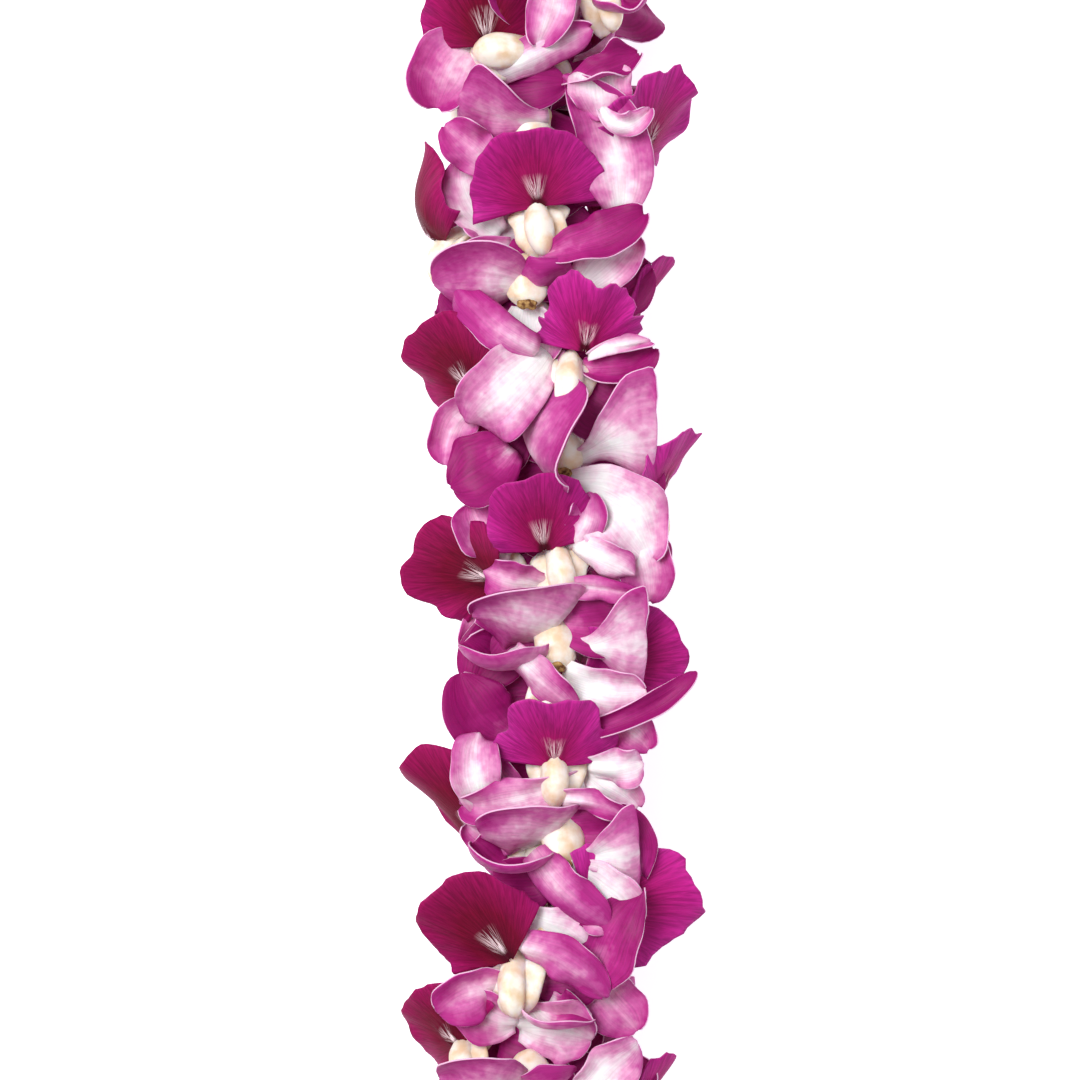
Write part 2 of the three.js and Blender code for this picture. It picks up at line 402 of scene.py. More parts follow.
laidBlossoms = {
    35: {
        "facing": -60, "lean": 40, "shift": (-8, -4, -3),
        "lip": {"length": 15, "flush": 1}, "petalLeft": paintedShade,
        "petalRight": bent(outer, [(-7, 2, 5), (-14, 2, 8), (-19, 8, 7)], width=12, flush=0.5),
        "sepalRight": bent(outer, [(-7, 1, 4), (1, 2, 10), (8, -1, 8)], width=14, flush=0.2),
    },
    36: {
        "facing": -18, "lean": 38, "shift": (-4, 4, 0), "columnShift": (-2, -1.6, 0), "columnTurn": -30,
        "lip": {"length": 23, "sideLength": 12, "spread": 68, "flush": 1},
        "petalLeft": bent(outer, [(-9.5, -1, 7), (-16, -1, 12), (-22.5, -6, 8)], width=12, flush=0.75),
        "petalRight": bent(tube, [(-6.5, 7, 10), (2, 7, 18), (10.5, -2.5, 12)], width=10, flush=0.75),
        "sepalRight": bent(outer, [(-4, 12, 8), (3, 9, 12), (9, 4, 9)], width=14, flush=0.1),
        "dorsal": bent(pocket, [(-3, -6, 8), (1, -9, 13), (8, -7, 10)], width=14, flush=0.4),
        "sepalLeft": bent(inner, [(-3, -1, 5), (4, 1, 8), (10, 1, 7)], width=13, flush=0.8),
    },
    37: {
        "facing": 46, "lean": -62, "shift": (-1, 1.5, 1), "columnShift": (0, 0, -8),
        "lip": {"length": 22, "sideLength": 14, "spread": 86, "bend": 4, "teeth": 1.6, "frill": 1.4,
                "flush": -0.2},
        "petalRight": paintedShade,
        "petalLeft": bent(petal, [(8, -13, 8), (9, -3, 16), (18, 8, 12)], width=14, widest=0.45, point=0.9,
                          up=(-0.3, 0.2, 1), flush=0.62),
        "sepalLeft": bent(inner, [(17, 10, 9), (19, 19, 13), (12, 24, 12)], width=7),
        "sepalRight": bent(inner, [(8, 4, 4), (13, 10, 7), (14, 18, 6)], width=13),
        "dorsal": bent(outer, [(4, -8, 4), (12, -14, 7), (17, -21, 6)], width=13, flush=0.5),
    },
    38: {
        "facing": 180, "lean": 0, "shift": (2, 4.5, 0),
        "sepalRight": bent(wall, [(-1.5, 6.5, 9), (-7.5, 8, 16), (-14, 8, 10)], neck=1, widest=0.25,
                           flush=0.6),
        "sepalLeft": bent(fan, [(4.5, 3, 9), (11, 3, 15), (17, 4.5, 12)], width=22),
        "petalRight": bent(pocket, [(-5, 1.5, 7), (-10, 0, 12), (-15.5, 6, 9)], width=22, flush=0.8),
        "petalLeft": bent(tube, [(-4, 4.5, 11), (1.7, -4.3, 18), (11, -9.5, 12)], width=10, flush=0.85),
        "dorsal": bent(outer, [(3, 0.5, 10), (11, -3.5, 13), (15.5, -11, 10)], width=14, flush=0.05),
    },
    39: {
        "facing": -50, "lean": 26, "shift": (-3.6, -7, 0), "columnShift": (0, 0, -6),
        "lip": {"length": 25, "sideLength": 7, "spread": 58, "flush": 1},
        "dorsal": bent(outer, [(2, 4, 12), (8, 5, 15), (16, -0.5, 13)], width=5, neck=0.9, widest=0.3,
                       flush=0.55),
        "petalLeft": bent(paintedShade, [(-10, 5, 2), (0, 4, 5), (10, 5, 2)]),
        "sepalLeft": bent(paintedShade, [(-12, -13, 7), (-6, -14, 9), (0, -13, 8)], width=12),
        "petalRight": bent(outer, [(-6, 4, 6), (-13, 7, 7), (-18, 14, 5)], width=12, flush=0.8),
        "sepalRight": bent(outer, [(-5, -2, 6), (-12, -6, 9), (-17, -1, 8)], width=9, flush=0.5),
    },
    40: {
        "facing": 0, "lean": 0, "shift": (0.4, -0.8, 0), "columnShift": (0.1, 0.6, 0),
        "lip": {"length": 17, "sideLength": 12.5, "spread": 88, "notch": 2.4, "flush": 0.15},
        "sepalLeft": bent(inner, [(-8, 5, 4), (-16, 8, 9), (-18, 18, 8)], up=(0.3, 0, 1)),
        "petalRight": bent(outer, [(7.5, 0, 10), (13.5, -1, 15), (18, 0.5, 11)], width=8, flush=0.1),
        "sepalRight": bent(inner, [(2, -13, 8), (9, -14, 11), (17, -12.5, 9)], width=12),
        "petalLeft": bent(outer, [(-12.5, -9.5, 8), (-16.5, -1, 15), (-14.5, 6, 9)], width=11, flush=0.3),
        "dorsal": bent(outer, [(6, -3, 9), (-7.5, -7.5, 16), (-18, -8, 8)], width=9, ruffle=3, flush=0.45),
    },
    41: {
        "facing": 52, "lean": -60, "shift": (0, 7, 1), "columnShift": (0, -5, -6),
        "lip": {"length": 18.5, "sideLength": 9.5, "spread": 84, "bend": 3, "flush": 0.3},
        "sepalRight": bent(inner, [(9, -3, 13), (21.5, 1, 15), (28, 8, 12)], width=5.5, neck=0.8,
                           cup=(60, 60), flush=1.3),
        "petalRight": paintedShade,
        "petalLeft": bent(outer, [(12, -2, 6), (16, -3, 11), (19, -8, 9)], width=9, flush=0.5),
        "sepalLeft": bent(inner, [(8, 4, 8), (12, 10, 10), (18, 14, 8)], width=10),
        "dorsal": bent(outer, [(6, -12, 6), (12, -15, 11), (17, -19, 8)], width=10, flush=0.1),
    },
    42: {
        "facing": 180, "lean": 0, "shift": (0.6, 0.8, 0),
        "sepalRight": bent(wall, [(-0.5, 5.5, 9), (-7.5, 7.5, 16), (-15.5, 8.5, 10)], width=24, neck=1,
                           widest=0.25, flush=0.6),
        "sepalLeft": bent(fan, [(5.5, 2, 9), (12, 2, 15), (18.5, 3, 12)]),
        "petalRight": bent(pocket, [(-5, -1, 6), (-11, -4, 11), (-17.5, 3, 8)], width=26,
                           up=(0, 0.95, 0.3), flush=0.6),
        "petalLeft": bent(tube, [(-8, 1.5, 11), (-3.6, -3.4, 18), (5, -10.5, 13)], width=7.5, flush=0.5),
        "dorsal": bent(outer, [(2, -3.5, 9), (10, -8, 12), (18.5, -6.5, 10)], width=10, neck=0.7, flush=0),
    },
    43: {
        "facing": -32, "lean": 66, "shift": (-4.6, 4.2, 0), "columnShift": (0, 5, -5),
        "lip": {"length": 20, "sideLength": 10.5, "spread": 76, "notch": 2, "flush": 1},
        "petalRight": bent(outer, [(-8, 3, 3), (-14, 9, 4), (-18, 17, 3)], width=10, flush=0.5),
        "petalLeft": bent(outer, [(-4, 0, 2), (-12, -4, 4), (-17, -10, 3)], width=13),
        "sepalRight": bent(inner, [(-5, -2, 4), (-12, -9, 6), (-16, -17, 5)], width=14),
        "dorsal": bent(outer, [(3, 3, 12), (10, 4, 15), (18.5, 1, 13)], width=5, neck=0.9, widest=0.3,
                       flush=0.7),
        "sepalLeft": paintedShade,
    },
    44: {
        "facing": 0, "lean": 10, "shift": (-1.4, 0, 0), "columnShift": (2.4, -2, 0),
        "lip": {"length": 17.5, "sideLength": 10.5, "spread": 88, "flush": 0.35},
        "sepalLeft": bent(outer, [(-8, 0, 6), (-14, 3, 10), (-16, 10, 8)], width=11, flush=0.5),
        "sepalRight": bent(outer, [(3, 2, 9), (8, 5, 14), (7, 12, 12)], width=8, flush=0.6),
        "petalLeft": bent(outer, [(-1, -6, 9), (-7, -6.5, 15), (-13, -3.5, 10)], width=9, flush=0.55),
        "petalRight": bent(tube, [(4.5, 1.5, 11), (10.5, -1, 17), (16, -4, 13)], width=8, flush=-0.2),
        "dorsal": bent(inner, [(2, -13.5, 9), (10, -14.5, 11), (19, -11.5, 10)], width=14),
    },
    45: {
        "facing": 76, "lean": -4, "shift": (9, 0, 0),
        "lip": {"length": 16, "sideLength": 10, "teeth": 1.6, "flush": -0.15},
        "petalRight": paintedShade,
        "sepalRight": bent(paintedShade, [(-10, -9, 3), (-2, -9.5, 6), (8, -9, 4)], width=17),
        "petalLeft": bent(outer, [(12, -4, 4), (18, -8, 6), (21, -16, 5)], width=12, flush=0.5),
        "sepalLeft": bent(inner, [(8, 4, 4), (14, 8, 6), (20, 12, 5)]),
        "dorsal": bent(outer, [(14, -5, 8), (20, -10, 12), (19, -19, 9)], width=12, flush=0.45),
    },
    46: {
        "facing": 180, "lean": 0, "shift": (2, -0.5, 0),
        "sepalRight": bent(wall, [(-2.5, -1, 9), (-7.5, 4, 16), (6, 14.5, 15)], width=30, neck=0.8,
                           widest=0.35, up=(0.7, -0.3, -0.6), flush=0.8),
        "sepalLeft": bent(fan, [(5, -0.5, 9), (13, 4, 15), (20.5, 4.5, 13)], width=29),
        "petalRight": bent(inner, [(-8, 2, 8), (-14, -3, 13), (-20, -6, 9)], up=(0.2, 0.3, 1)),
        "petalLeft": bent(inner, [(4, -2, 5), (14, -5, 7), (22, -8, 6)], width=18, flush=0.9),
        "dorsal": bent(outer, [(3, -7, 9), (14, -7, 15), (19, -20, 10)], width=18, ruffle=3, flush=0),
    },
    47: {
        "facing": -48, "lean": 32, "shift": (-6.5, 3, 0), "columnShift": (0, 0, -2.5),
        "lip": {"length": 18, "sideLength": 12, "spread": 84, "flush": 1},
        "sepalLeft": paintedShade,
        "petalRight": bent(outer, [(-1.5, 11, 9), (-9.5, 2.5, 19.5), (-16.5, -3, 10)], width=17, flush=0.2),
        "petalLeft": bent(outer, [(-14, 1, 6), (-21, -2, 10), (-21, -11, 7)], width=10, flush=0.5),
        "sepalRight": bent(inner, [(-5, -2, 4), (-12, -7, 6), (-18, -14, 5)], width=14),
    },
    48: {
        "facing": 4, "lean": -8, "shift": (5.4, 2, 0), "columnShift": (-2.2, -3.6, 0),
        "lip": {"length": 16, "sideLength": 9.5, "spread": 92, "teeth": 1.8, "frill": 1.5, "flush": 0.15},
        "sepalLeft": bent(inner, [(-3, 5, 3), (-13, 9, 6), (-22, 15, 6)]),
        "petalLeft": bent(inner, [(-2, -1, 2), (-12, -2, 3), (-20, 1, 3)], flush=0.7),
        "petalRight": bent(petal, [(6, 0, 9), (13, -2, 15), (20, 3, 11)], width=9, up=(0, 0.3, 1), flush=0.9),
        "sepalRight": bent(outer, [(7, 1.5, 12), (12, 4, 15.5), (19, 4.5, 13)], width=3.5, flush=0.1),
        "dorsal": bent(inner, [(4, -3, 6), (9, -7, 10), (17, -12, 7)], width=17),
    },
    49: {
        "facing": 100, "lean": -16, "shift": (4, -2, 3),
        "lip": {"sideLength": 6, "length": 19, "spread": 70, "teeth": 1.2}, "petalRight": paintedShade,
        "sepalLeft": bent(outer, [(4.5, 7, 8), (10.5, 12, 13), (16, 18, 10)], width=12, flush=0.1),
        "petalLeft": bent(inner, [(6, 4, 3), (13, 8, 4), (20, 12, 3)], width=14, flush=0.8),
    },
    50: {
        "facing": 180, "lean": 0, "shift": (-5, -1, 0),
        "sepalRight": bent(wall, [(-6, 0, 9), (-14, -1, 15), (-23, 0.5, 9)], width=26, neck=0.35,
                           widest=0.5, flush=0.7),
        "sepalLeft": bent(wall, [(-5, 0.5, 9), (-1, -1, 13), (3.5, 4, 12)], width=13, up=(0, 0.9, -0.3),
                          cup=(60, 60), flush=0.9),
        "petalRight": bent(tube, [(-3, -13, 13), (-12.5, -9.5, 19), (-19, 0, 10)], neck=0.75, flush=0.85),
        "petalLeft": bent(inner, [(-8, -2, 5), (-16, -5, 6), (-23, -4, 5)], width=12),
        "dorsal": bent(outer, [(-5, -4, 8), (-5, -9, 9), (-3, -16, 7)], width=14, flush=0),
    },
    51: {
        "facing": -88, "lean": 0, "shift": (-10, 1, 0),
        "lip": {"length": 22, "sideLength": 10, "lift": (60, -30), "bend": -3, "flush": 1},
        "petalLeft": paintedShade,
        "petalRight": bent(outer, [(-10, 3, 6), (-18, 8, 8), (-18, 17, 6)], width=10, flush=0.1),
        "sepalRight": bent(outer, [(-8, 0, 6), (-16, -2, 8), (-22, -8, 6)], width=10, flush=0.7),
    },
    52: {
        "facing": 0, "lean": 10, "shift": (-2.6, -0.8, 0), "columnShift": (-0.6, -1.2, 0),
        "lip": {"length": 17.5, "sideLength": 13.5, "spread": 98, "flush": 0.35},
        "sepalLeft": bent(inner, [(-4, 4, 2), (-12, 5, 4), (-20, 9, 4)], flush=0.3),
        "petalLeft": bent(outer, [(-6, -3, 3), (-12, -5, 6), (-17, 0, 5)], width=8, flush=0.15),
        "petalRight": bent(petal, [(-2.5, -10, 11.5), (9, -8, 18.5), (18, -2, 14.5)], width=10,
                           up=(0, 0.35, 1), flush=0.8),
        "sepalRight": bent(inner, [(3, 4, 4), (12, 8, 6), (18, 14, 6)]),
        "dorsal": bent(inner, [(-4, -6, 6), (-3, -10, 9), (-1, -15, 7)]),
    },
    53: {
        "facing": 62, "lean": -10, "shift": (7.5, 2, -1), "columnShift": (0, 0, -6),
        "lip": {"teeth": 2.4, "length": 18, "sideLength": 13, "frill": 1.2, "flush": -0.25},
        "petalRight": paintedShade,
        "petalLeft": bent(outer, [(9.5, 10, 15), (13.5, 3, 18), (19, 10, 15)], width=5, flush=-0.2),
        "sepalLeft": bent(outer, [(9, 18.5, 12), (9.5, 13.5, 15), (10, 8, 13)], width=13, widest=0.3,
                          flush=-0.2),
    },
    54: {
        "facing": 180, "lean": 0, "shift": (-4.4, -2.5, 0),
        "sepalRight": bent(wall, [(-1, 0, 10), (-10, -1.5, 15), (-18, 5, 12)], width=20, neck=0.2,
                           widest=0.85, swell=2.2, point=0.35, flush=0.6),
        "sepalLeft": bent(inner, [(-14, 7, 8), (-6, 6, 12), (3, 7.5, 11)], width=11, flush=1.6),
        "petalRight": bent(outer, [(-10, -10, 8), (-16, -6, 13), (-21, -1, 10)], width=10, flush=0.6),
        "petalLeft": bent(outer, [(13.5, -17.5, 8), (14.5, 0, 14), (2, 8.5, 12)], width=15, neck=0.45,
                          widest=0.32, point=0.8, flush=0.6),
        "dorsal": bent(outer, [(-4, -1, 6), (-3, -8, 8), (0, -15, 6)], width=15, flush=0.2),
    },
    55: {
        "facing": -100, "lean": 0, "shift": (-6, 0, -4), "lip": {"length": 14, "flush": 1},
        "petalRight": bent(outer, [(-8, 1, 4), (-16, 4, 6), (-21, 8, 5)], width=11, flush=0.5),
    },
    56: {
        "facing": -2, "lean": 2, "shift": (-12.5, -3.5, 0), "columnShift": (5.5, -1, 1), "columnTurn": -90,
        "lip": {"length": 21, "sideLength": 11, "spread": 96, "flush": 0.85},
        "nose": {"widths": [(2.6, 2.6), (3.2, 3.0), (3.6, 3.0), (2.8, 2.2)]},
        "petalLeft": bent(outer, [(-15, -2, 7), (-21, -5, 12), (-23, -15, 8)], width=17, flush=0.6),
        "sepalLeft": bent(inner, [(-10, -7, 6), (-6, -11, 8), (0, -14, 7)]),
        "sepalRight": bent(outer, [(1, 12, 12), (1, 5, 18), (-3, -3.5, 14)], width=10),
        "dorsal": bent(tube, [(-12.5, -9, 10), (-2, -5, 18), (7.5, 0, 13)], flush=0.45),
    },
    57: {
        "facing": 34, "lean": 10, "shift": (4, -2, 0),
        "sepalLeft": bent(pocket, [(10, -5, 10), (14, -8, 14), (18, -4, 11)], width=10, flush=0.7),
        "dorsal": bent(petal, [(2.5, -20.5, 12), (10, -19, 17), (17, -15, 13)], width=8, up=(0, 0.5, 0.85),
                       cup=(60, 70), flush=1),
    },
}


# Where a blossom stands on the strand: facing is from straight up, towards the loop's outside, and lean
# turns it about the way that it faces
def standOf(facing, lean, shift):
    facing = math.radians(facing)
    forward = Vector((math.sin(facing), 0, math.cos(facing)))
    along = Vector((0, 1, 0))
    axes = Matrix((along.cross(forward), along, forward)).transposed()
    return Matrix.Translation(shift) @ (axes @ Matrix.Rotation(math.radians(lean), 3, "Z")).to_4x4()


# A blossom that the photograph shows is grown as laid. Any other takes after a laid one with the same turn,
# with small changes of its own, all from one seed a blossom.
growing = {"firstSeed": 500, "turning": 8, "laidChange": 0.6, "lowerTurning": 10, "noiseRange": 50}


def growBlossom(meshes, number, distance, fine):
    chance = random.Random(growing["firstSeed"] + number)
    turn = number % loop["blossomsPerSet"]
    strand = strandAt(distance)
    asLaid = number in laidBlossoms
    sameTurn = [laid for laid in laidBlossoms if laid % loop["blossomsPerSet"] == turn]
    laid = laidBlossoms[number if asLaid else chance.choice(sameTurn)]
    amount = 0 if asLaid else 1
    turning = growing["turning"]
    noiseRange = growing["noiseRange"]
    facing = laid["facing"] + amount * chance.uniform(-turning, turning)
    stand = standOf(facing, laid["lean"] + amount * chance.uniform(-turning, turning), laid["shift"])
    for name, sheet in {**openHabit, **bentHabit[turn]}.items():
        if name in laid:
            sheet, base = jittered(laid[name], chance, growing["laidChange"] * amount), Matrix.Identity(4)
        else:
            sheet, base = jittered(sheet, chance, 1), stand
        growSheet(meshes["petals"], sheet, base, strand, fine["sheet"], chance.uniform(0, noiseRange))
    ownLip = {**lip, **laid.get("lip", {})}
    growLip(meshes["lips"], ownLip, stand, strand, fine["lip"], chance.uniform(0, noiseRange))
    columnStand = stand @ Matrix.Translation(laid.get("columnShift", (0, 0, 0)))
    columnStand = columnStand @ Matrix.Rotation(math.radians(laid.get("columnTurn", 0)), 4, "Z")
    ownNose = {**nose, **laid.get("nose", {})}
    for bead, base in ((ownNose, columnStand), (wings, columnStand), (hub, stand), (scar, stand)):
        growBead(meshes["columns"], bead, base, strand, fine["bead"], chance.uniform(0, noiseRange))
    turning = growing["lowerTurning"]
    for way, reach in lowerWays[turn]:
        base = standOf(way + chance.uniform(-turning, turning), 0, (0, 0, 0))
        sheet = lowerSheet(reach, chance)
        growSheet(meshes["petals"], sheet, base, strand, fine["lower"], chance.uniform(0, noiseRange))


# Colours are written as sRGB hex and given to the shaders as linear light
def linear(code):
    parts = [int(code[k:k + 2], 16) / 255 for k in (0, 2, 4)]
    return (*(part / 12.92 if part <= 0.04045 else ((part + 0.055) / 1.055) ** 2.4 for part in parts), 1)


# One node with its settings. Links gives its input sockets another socket or a fixed value, and stops gives
# a ramp its places and colours.
def addNode(tree, kind, links=None, stops=None, **settings):
    node = tree.nodes.new(kind)
    for name, value in settings.items():
        setattr(node, name, value)
    for socket, value in (links or {}).items():
        if isinstance(value, bpy.types.NodeSocket):
            tree.links.new(value, node.inputs[socket])
        else:
            node.inputs[socket].default_value = value
    for number, (place, colour) in enumerate(stops or []):
        element = node.color_ramp.elements[number] if number < 2 else node.color_ramp.elements.new(place)
        element.position = place
        element.color = linear(colour)
    return node


# A material, its node tree and its shader, on which the surface's fixed values are set
def newMaterial(name, surface):
    material = bpy.data.materials.new(name)
    material.use_nodes = True
    tree = material.node_tree
    shader = tree.nodes["Principled BSDF"]
    for socket, value in surface.items():
        shader.inputs[socket].default_value = value
    return material, tree, shader


# Fresh orchid petal: thin living tissue with a waxy skin, so soft broad gloss, light let through, fine veins.
# Colour runs from the white foot to the purple margin, as the weights add up how far along, how far across
# and how flushed a point is. Cloud, mottle and veins say how much each of them varies it.
petalSkins = {
    "petalUpperFace": {
        "stops": [(0.28, "fcf5f6"), (0.42, "eecbde"), (0.56, "cc62a3"), (0.72, "b22a83"), (1.0, "98146a")],
        "weights": (0.70, 0.29, 0.53), "cloud": 0.29, "mottle": 0.15, "veins": 0.13,
    },
    "petalUnderside": {
        "stops": [(0.28, "fdf8fa"), (0.46, "f5d9e7"), (0.62, "e29bc4"), (0.80, "c85ca2"), (1.0, "b02c84")],
        "weights": (0.45, 0.40, 0.55), "cloud": 0.30, "mottle": 0.17, "veins": 0.08,
    },
}
petalSurface = {
    "Roughness": 0.45, "IOR": 1.4, "Specular IOR Level": 0.25, "Subsurface Weight": 0.2,
    "Subsurface Radius": (1.0, 0.4, 0.6), "Subsurface Scale": 0.001,
}
# Sizes in millimetres of the colour's clouds, the skin's crinkle and its relief. Veins are scaled along,
# across, with 16 to each half of a petal, and from sheet to sheet.
petalGrain = {"cloud": 7, "crinkle": 1.8, "relief": 0.4, "veins": (2.2, 16, 37)}


def petalSkin(name):
    skin = petalSkins[name]
    material, tree, shader = newMaterial(name, petalSurface)
    growth = addNode(tree, "ShaderNodeAttribute", attribute_name="growth").outputs["Vector"]
    place = addNode(tree, "ShaderNodeTexCoord").outputs["Object"]
    cloud = addNode(tree, "ShaderNodeTexNoise", {
        "Vector": place, "Scale": 1 / (petalGrain["cloud"] * metres), "Detail": 3,
    })
    crinkle = addNode(tree, "ShaderNodeTexNoise", {
        "Vector": place, "Scale": 1 / (petalGrain["crinkle"] * metres), "Detail": 3,
    })
    wide = addNode(tree, "ShaderNodeVectorMath", {0: growth}, operation="ABSOLUTE")
    flush = addNode(tree, "ShaderNodeVectorMath", {0: wide.outputs[0], 1: skin["weights"]},
                    operation="DOT_PRODUCT")
    drift = addNode(tree, "ShaderNodeMath", {0: cloud.outputs[0], 1: 0.5}, operation="SUBTRACT")
    clouded = addNode(tree, "ShaderNodeMath", {
        0: drift.outputs[0], 1: skin["cloud"] * 2, 2: flush.outputs["Value"],
    }, operation="MULTIPLY_ADD")
    speck = addNode(tree, "ShaderNodeMath", {0: crinkle.outputs[0], 1: 0.5}, operation="SUBTRACT")
    tint = addNode(tree, "ShaderNodeMath", {
        0: speck.outputs[0], 1: skin["mottle"] * 2, 2: clouded.outputs[0],
    }, operation="MULTIPLY_ADD")
    colour = addNode(tree, "ShaderNodeValToRGB", {0: tint.outputs[0]}, skin["stops"])
    lines = addNode(tree, "ShaderNodeVectorMath", {0: growth, 1: petalGrain["veins"]}, operation="MULTIPLY")
    veins = addNode(tree, "ShaderNodeTexNoise", {"Vector": lines.outputs[0], "Scale": 1, "Detail": 4})
    limits = {1: 0.3, 2: 0.7, 3: 1 - skin["veins"] * 2, 4: 1 + skin["veins"] / 2}
    shading = addNode(tree, "ShaderNodeMapRange", {0: veins.outputs[0], **limits})
    veined = addNode(tree, "ShaderNodeVectorMath", {0: colour.outputs[0], "Scale": shading.outputs[0]},
                     operation="SCALE")
    relief = addNode(tree, "ShaderNodeMath", {0: crinkle.outputs[0], 1: veins.outputs[0]}, operation="ADD")
    bump = addNode(tree, "ShaderNodeBump", {
        "Height": relief.outputs[0], "Strength": 0.3, "Distance": petalGrain["relief"] * metres,
    })
    tree.links.new(veined.outputs[0], shader.inputs["Base Color"])
    tree.links.new(bump.outputs[0], shader.inputs["Normal"])
    return material


# The rim of a petal: a fine pale line, partly the thin clear skin that shows without the purple cells and
# partly a painted highlight where the edge catches the light
def petalRimAndHighlight():
    return newMaterial("petalRimAndHighlight", {**petalSurface, "Base Color": linear("e9b9d8")})[0]


# Orchid lip: velvety, of tall cone-shaped cells, so matt with a faint sheen, crimson purple with fine
# radiating veins and a brighter margin. The crest at its foot is pale and torn into streaks.
lipSkins = {
    "lipUpperFace": {
        "stops": [(0.0, "4a0618"), (0.25, "75092f"), (0.5, "9c125b"), (0.75, "b32083"), (1.0, "c6379f")],
        # The dark foot is the throat's own maroon and painted shade where the lip overhangs the column
        "foot": "4e0820", "crest": "f6dfe4", "veins": 0.3,
    },
    "lipUnderside": {
        "stops": [(0.0, "7d0d4c"), (0.25, "97195f"), (0.5, "aa2673"), (0.75, "b8388a"), (1.0, "c64fa0")],
        "foot": "f2e4d4", "crest": "c64fa0", "veins": 0.12,
    },
}
lipSurface = {
    "Roughness": 0.6, "IOR": 1.38, "Specular IOR Level": 0.15, "Subsurface Weight": 0.1,
    "Subsurface Radius": (1.0, 0.3, 0.5), "Subsurface Scale": 0.001, "Sheen Weight": 0.03,
    "Sheen Roughness": 0.4,
}
lipTone = {"weights": (0.5, 0.16, -0.42), "start": 0.36}
# Veins are scaled along, across and from lip to lip, and the relief is in millimetres. The crest fades out
# sideways and forwards and is torn along the veins, and the dark foot, the throat's own maroon and painted
# shade under the lip, ends where the crest begins.
lipGrain = {"veins": (4, 46, 37), "relief": 0.3}
lipFades = {
    "sideways": {1: 0.3, 2: 0.1}, "forwards": {1: 0.42, 2: 0.2}, "torn": {1: 0.48, 2: 0.54},
    "foot": {1: 0.15, 2: 0.09},
}


def lipSkin(name):
    skin = lipSkins[name]
    material, tree, shader = newMaterial(name, lipSurface)
    growth = addNode(tree, "ShaderNodeAttribute", attribute_name="growth").outputs["Vector"]
    wide = addNode(tree, "ShaderNodeVectorMath", {0: growth}, operation="ABSOLUTE")
    along = addNode(tree, "ShaderNodeSeparateXYZ", {0: wide.outputs[0]})
    lines = addNode(tree, "ShaderNodeVectorMath", {0: growth, 1: lipGrain["veins"]}, operation="MULTIPLY")
    veins = addNode(tree, "ShaderNodeTexNoise", {"Vector": lines.outputs[0], "Scale": 1, "Detail": 3,
                                                 "Distortion": 0.7})
    mood = addNode(tree, "ShaderNodeVectorMath", {0: wide.outputs[0], 1: lipTone["weights"]},
                   operation="DOT_PRODUCT")
    tone = addNode(tree, "ShaderNodeMath", {0: mood.outputs["Value"], 1: lipTone["start"]}, operation="ADD")
    colour = addNode(tree, "ShaderNodeValToRGB", {0: tone.outputs[0]}, skin["stops"])
    limits = {1: 0.35, 2: 0.65, 3: 1 - skin["veins"], 4: 1 + skin["veins"] / 2}
    shading = addNode(tree, "ShaderNodeMapRange", {0: veins.outputs[0], **limits})
    veined = addNode(tree, "ShaderNodeVectorMath", {0: colour.outputs[0], "Scale": shading.outputs[0]},
                     operation="SCALE")
    near = addNode(tree, "ShaderNodeMapRange", {0: along.outputs[1], **lipFades["sideways"]})
    low = addNode(tree, "ShaderNodeMapRange", {0: along.outputs[0], **lipFades["forwards"]})
    torn = addNode(tree, "ShaderNodeMapRange", {0: veins.outputs[0], **lipFades["torn"]})
    patch = addNode(tree, "ShaderNodeMath", {0: near.outputs[0], 1: low.outputs[0]}, operation="MULTIPLY")
    streaks = addNode(tree, "ShaderNodeMath", {0: patch.outputs[0], 1: torn.outputs[0]}, operation="MULTIPLY")
    crested = addNode(tree, "ShaderNodeMix", {
        0: streaks.outputs[0], 6: veined.outputs[0], 7: linear(skin["crest"]),
    }, data_type="RGBA")
    base = addNode(tree, "ShaderNodeMapRange", {0: along.outputs[0], **lipFades["foot"]})
    footed = addNode(tree, "ShaderNodeMix", {
        0: base.outputs[0], 6: crested.outputs[2], 7: linear(skin["foot"]),
    }, data_type="RGBA")
    bump = addNode(tree, "ShaderNodeBump", {
        "Height": veins.outputs[0], "Strength": 0.35, "Distance": lipGrain["relief"] * metres,
    })
    tree.links.new(footed.outputs[2], shader.inputs["Base Color"])
    tree.links.new(bump.outputs[0], shader.inputs["Normal"])
    return material


# The column and the chin behind it: firm waxy flesh, smooth and softly shining, its own cream clouded at
# random between a warmer tan of painted shade and a paler cream of painted highlight
def columnWax():
    material, tree, shader = newMaterial("columnWax", {
        "Roughness": 0.32, "IOR": 1.44, "Subsurface Weight": 0.35, "Subsurface Radius": (1.0, 0.7, 0.4),
        "Subsurface Scale": 0.002,
    })
    place = addNode(tree, "ShaderNodeTexCoord").outputs["Object"]
    cloud = addNode(tree, "ShaderNodeTexNoise", {"Vector": place, "Scale": 1 / (3 * metres), "Detail": 3})
    # Random clouds from painted shade, a warm tan, to painted highlight, a pale cream
    colour = addNode(tree, "ShaderNodeValToRGB", {0: cloud.outputs[0]}, [(0.32, "e8cca9"), (0.6, "faf1e6")])
    tree.links.new(colour.outputs[0], shader.inputs["Base Color"])
    return material


# The torn end of the flower's stalk: dried, brown and dull
def stalkScar():
    material, tree, shader = newMaterial("stalkScar", {"Roughness": 0.8, "IOR": 1.4})
    place = addNode(tree, "ShaderNodeTexCoord").outputs["Object"]
    cloud = addNode(tree, "ShaderNodeTexNoise", {"Vector": place, "Scale": 1 / (0.8 * metres), "Detail": 2})
    colour = addNode(tree, "ShaderNodeValToRGB", {0: cloud.outputs[0]}, [(0.35, "5a3216"), (0.65, "c19a5f")])
    tree.links.new(colour.outputs[0], shader.inputs["Base Color"])
    return material


